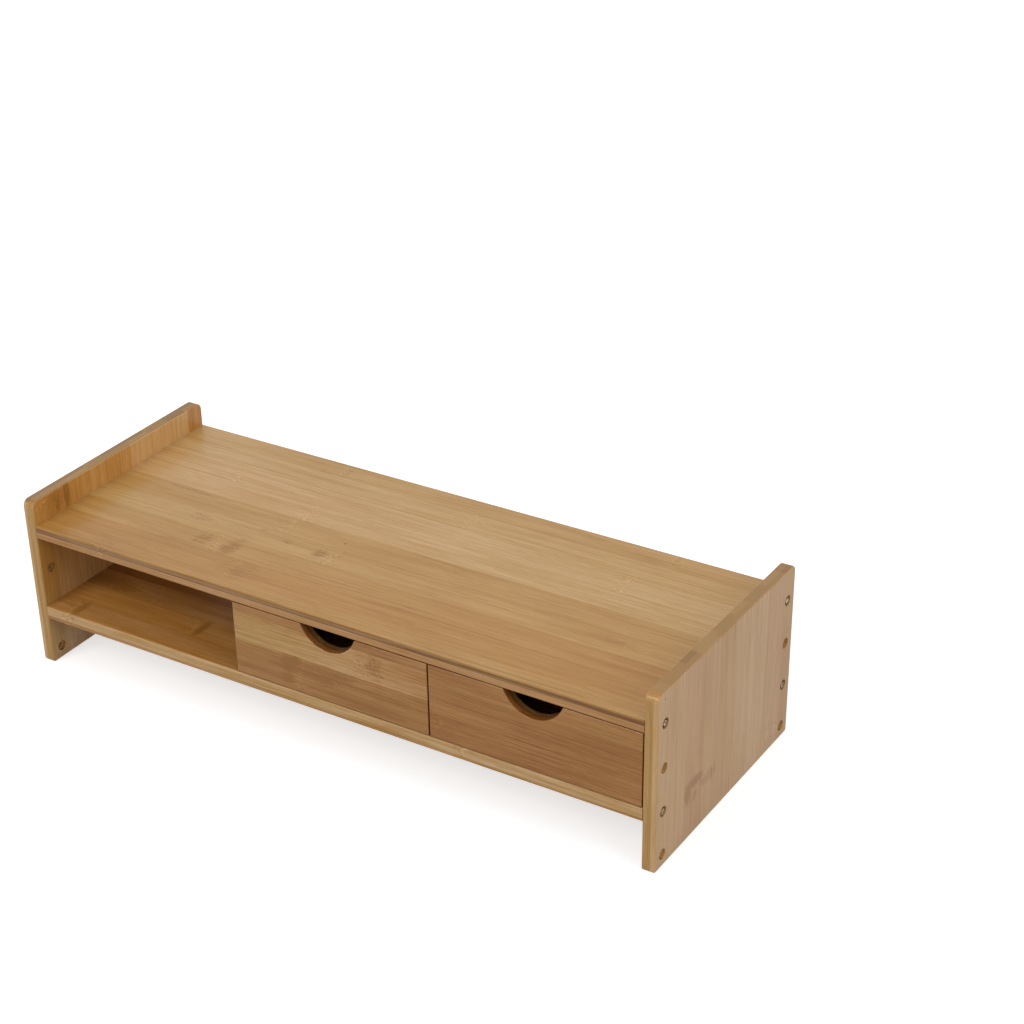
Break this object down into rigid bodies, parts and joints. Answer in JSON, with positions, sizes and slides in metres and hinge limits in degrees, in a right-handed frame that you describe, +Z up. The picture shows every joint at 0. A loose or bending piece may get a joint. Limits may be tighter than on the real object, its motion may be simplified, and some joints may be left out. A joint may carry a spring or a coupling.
{
  "type": "laptop stand with drawers",
  "caption": "Low bamboo laptop stand: a top board and a raised shelf between side panels, with sliding drawers beside an open bay.",
  "frame": {"origin": "on the ground, under the middle of the stand's width and depth", "axes": "+X along the boards to the user's right, +Y to the rear, +Z up; the drawers open towards -Y"},
  "size_m": [0.54, 0.202, 0.14],
  "materials": {
    "panel_bamboo": "satin lacquered laminated bamboo",
    "board_bamboo": "satin lacquered laminated bamboo",
    "shelf_bamboo": "satin lacquered laminated bamboo",
    "middle_front_bamboo": "satin lacquered laminated bamboo",
    "right_front_bamboo": "satin lacquered laminated bamboo",
    "drawer_wall_bamboo": "satin lacquered laminated bamboo",
    "drawer_bottom_bamboo": "satin lacquered laminated bamboo",
    "dowel_bamboo": "satin lacquered laminated bamboo",
    "screw_steel": "bright plated steel"
  },
  "bodies": {
    "stand": {"left_side_panel": "panel_bamboo", "right_side_panel": "panel_bamboo", "top_board": "board_bamboo", "lower_shelf": "shelf_bamboo", "top_board_screw_left_front": "screw_steel", "top_board_screw_left_rear": "screw_steel", "top_board_screw_right_front": "screw_steel", "top_board_screw_right_rear": "screw_steel", "lower_shelf_screw_left_front": "screw_steel", "lower_shelf_screw_left_rear": "screw_steel", "lower_shelf_screw_right_front": "screw_steel", "lower_shelf_screw_right_rear": "screw_steel", "middle_stop_dowel_left": "dowel_bamboo", "middle_stop_dowel_right": "dowel_bamboo", "right_stop_dowel_left": "dowel_bamboo", "right_stop_dowel_right": "dowel_bamboo"},
    "middle_drawer": {"middle_drawer_front": "middle_front_bamboo", "middle_drawer_left_side": "drawer_wall_bamboo", "middle_drawer_right_side": "drawer_wall_bamboo", "middle_drawer_back": "drawer_wall_bamboo", "middle_drawer_bottom": "drawer_bottom_bamboo"},
    "right_drawer": {"right_drawer_front": "right_front_bamboo", "right_drawer_left_side": "drawer_wall_bamboo", "right_drawer_right_side": "drawer_wall_bamboo", "right_drawer_back": "drawer_wall_bamboo", "right_drawer_bottom": "drawer_bottom_bamboo"}
  },
  "joints": [
    {"name": "middle_drawer_slide", "type": "slide", "parent": "stand", "child": "middle_drawer", "axis": [0, -1, 0], "range_m": [0, 0.15]},
    {"name": "right_drawer_slide", "type": "slide", "parent": "stand", "child": "right_drawer", "axis": [0, -1, 0], "range_m": [0, 0.15]}
  ]
}
